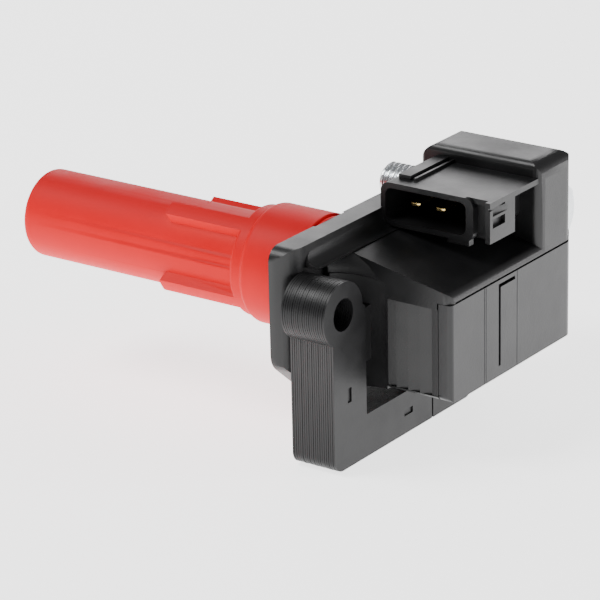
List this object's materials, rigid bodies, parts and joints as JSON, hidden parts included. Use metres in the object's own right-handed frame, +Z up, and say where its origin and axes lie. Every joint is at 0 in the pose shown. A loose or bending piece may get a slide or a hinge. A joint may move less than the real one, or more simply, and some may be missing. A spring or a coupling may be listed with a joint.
{
  "type": "ignition coil",
  "caption": "Two-pin coil-on-plug ignition coil: flanged case with side connector, open laminated core with a mounting ear, captive bolt and ribbed silicone plug boot.",
  "frame": {"origin": "centre of the plug boot on the flange's seating face", "axes": "+X away from the engine, out of the plug well; the boot points to -X; +Y from the core's ear to the captive bolt, opposite to the way the connector's mouth faces; +Z up, from the core's lower arm to the rear block's top"},
  "size_m": [0.1009, 0.0826, 0.0516],
  "materials": {
    "case_plastic": "matt black glass-filled moulding",
    "cover_plastic": "matt black moulding",
    "resin": "cured dark resin",
    "core_steel": "black-lacquered stack of thin steel sheets",
    "inner_steel": "bare silicon steel",
    "magnet_black": "sintered magnet",
    "bobbin_plastic": "ivory moulding",
    "copper_wire": "enamelled copper wire",
    "contact_brass": "bright brass",
    "diode_black": "moulded diode body",
    "ceramic": "brown ceramic body with metal end caps",
    "spring_steel": "bright spring wire",
    "zinc_plate": "bright zinc plating",
    "red_silicone": "matt red silicone rubber"
  },
  "bodies": {
    "coil": {"case": "case_plastic", "side_cover": "cover_plastic", "potting": "resin", "outer_core": "core_steel", "return_core": "core_steel", "centre_core": "inner_steel", "magnet": "magnet_black", "primary_bobbin": "bobbin_plastic", "primary_winding": "copper_wire", "secondary_bobbin": "bobbin_plastic", "secondary_winding": "copper_wire", "supply_terminal": "contact_brass", "switch_terminal": "contact_brass", "supply_lead": "copper_wire", "switch_lead": "copper_wire", "ht_diode": "diode_black", "ht_lead": "copper_wire", "ht_terminal": "contact_brass", "suppressor": "ceramic", "contact_spring": "spring_steel", "boot": "red_silicone", "boot_seal": "red_silicone", "bolt_bush": "zinc_plate"},
    "contact": {"plug_contact": "zinc_plate"},
    "bolt_carrier": {"bolt_washer": "zinc_plate"},
    "bolt": {"bolt": "zinc_plate"}
  },
  "joints": [
    {"name": "bolt_slide", "type": "slide", "parent": "coil", "child": "bolt_carrier", "axis": [1, 0, 0], "range_m": [-0.00045, 0.0051]},
    {"name": "bolt_spin", "type": "hinge", "parent": "bolt_carrier", "child": "bolt", "pos_m": [0, 0.0512, 0.001], "axis": [1, 0, 0], "continuous": true},
    {"name": "contact_press", "type": "slide", "parent": "coil", "child": "contact", "axis": [1, 0, 0], "range_m": [0, 0.003], "stiffness_N_per_m": 500, "springref_m": -0.002, "deforming": ["contact_spring"]}
  ]
}
